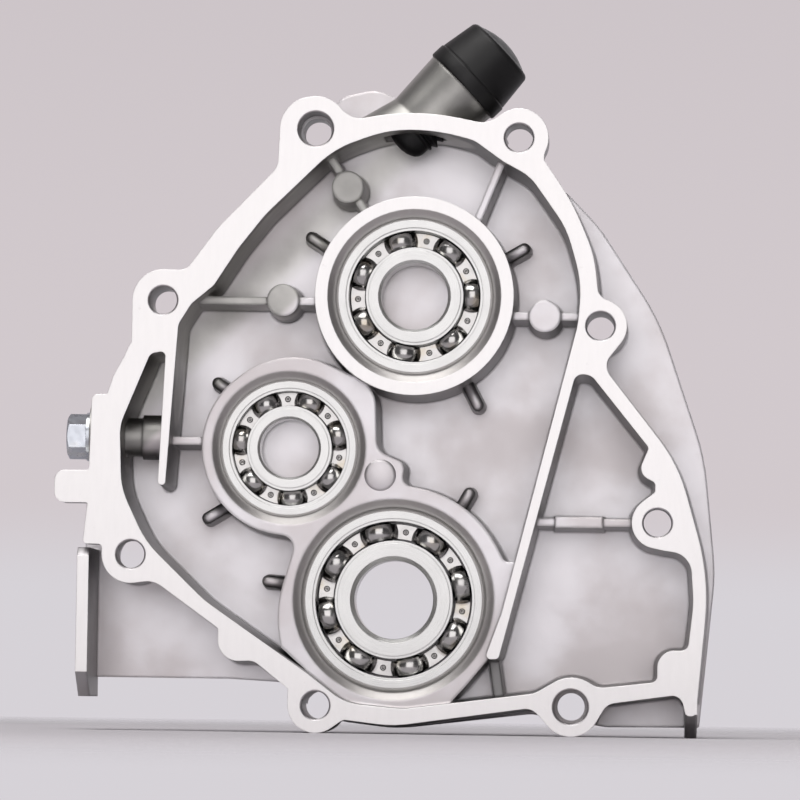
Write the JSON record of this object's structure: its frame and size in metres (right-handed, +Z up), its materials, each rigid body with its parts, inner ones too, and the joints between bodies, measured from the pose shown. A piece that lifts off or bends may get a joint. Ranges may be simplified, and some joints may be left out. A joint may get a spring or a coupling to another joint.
{
  "type": "gear housing",
  "caption": "Die cast gear housing half with flanged joint face, ribbed chamber, shaft ball bearings, threaded filler cap and hexagon level plug.",
  "frame": {"origin": "under the middle of the part, level with the foot it stands on", "axes": "+Z up from the foot to the filler cap, -Y out of the machined joint face, +X to the right seen from the open side"},
  "size_m": [0.1674, 0.04, 0.1814],
  "materials": {
    "casting": "as cast, with machined faces",
    "bearing_steel": "ground",
    "cage_steel": "pressed sheet",
    "ball_steel": "polished",
    "cap_plastic": "moulded",
    "seal_rubber": "matt",
    "plug_steel": "zinc plated",
    "washer": "plain"
  },
  "bodies": {
    "case": {"housing": "casting", "upper_outer_ring": "bearing_steel", "idler_outer_ring": "bearing_steel", "output_outer_ring": "bearing_steel", "level_plug": "plug_steel", "plug_washer": "washer"},
    "upper_inner": {"upper_inner_ring": "bearing_steel"},
    "upper_cage": {"upper_cage_front": "cage_steel", "upper_cage_back": "cage_steel", "upper_balls": "ball_steel"},
    "idler_inner": {"idler_inner_ring": "bearing_steel"},
    "idler_cage": {"idler_cage_front": "cage_steel", "idler_cage_back": "cage_steel", "idler_balls": "ball_steel"},
    "output_inner": {"output_inner_ring": "bearing_steel"},
    "output_cage": {"output_cage_front": "cage_steel", "output_cage_back": "cage_steel", "output_balls": "ball_steel"},
    "cap_seal_body": {"cap_seal": "seal_rubber"},
    "cap": {"filler_cap": "cap_plastic"}
  },
  "joints": [
    {"name": "upper_shaft_spin", "type": "hinge", "parent": "case", "child": "upper_inner", "pos_m": [0.0066, -0.0105, 0.1108], "axis": [0, -1, 0], "continuous": true},
    {"name": "upper_cage_spin", "type": "hinge", "parent": "case", "child": "upper_cage", "pos_m": [0.0066, -0.0105, 0.1108], "axis": [0, -1, 0], "continuous": true},
    {"name": "idler_shaft_spin", "type": "hinge", "parent": "case", "child": "idler_inner", "pos_m": [-0.0249, -0.005, 0.0721], "axis": [0, -1, 0], "continuous": true},
    {"name": "idler_cage_spin", "type": "hinge", "parent": "case", "child": "idler_cage", "pos_m": [-0.0249, -0.005, 0.0721], "axis": [0, -1, 0], "continuous": true},
    {"name": "output_shaft_spin", "type": "hinge", "parent": "case", "child": "output_inner", "pos_m": [0.0022, -0.0035, 0.034], "axis": [0, -1, 0], "continuous": true},
    {"name": "output_cage_spin", "type": "hinge", "parent": "case", "child": "output_cage", "pos_m": [0.0022, -0.0035, 0.034], "axis": [0, -1, 0], "continuous": true},
    {"name": "cap_lift", "type": "slide", "parent": "case", "child": "cap_seal_body", "axis": [0.7193, 0, 0.6947], "range_m": [0, 0.024]},
    {"name": "cap_turn", "type": "hinge", "parent": "cap_seal_body", "child": "cap", "pos_m": [0.0175, -0.005, 0.1652], "axis": [0.7193, 0, 0.6947], "range_deg": [0, 4320]}
  ],
  "couplings": [
    {"joint": "upper_cage_spin", "follows": "upper_shaft_spin", "ratio": 0.38402},
    {"joint": "idler_cage_spin", "follows": "idler_shaft_spin", "ratio": 0.38287},
    {"joint": "output_cage_spin", "follows": "output_shaft_spin", "ratio": 0.38625},
    {"joint": "cap_lift", "follows": "cap_turn", "m_per_rad": 0.00031831}
  ]
}
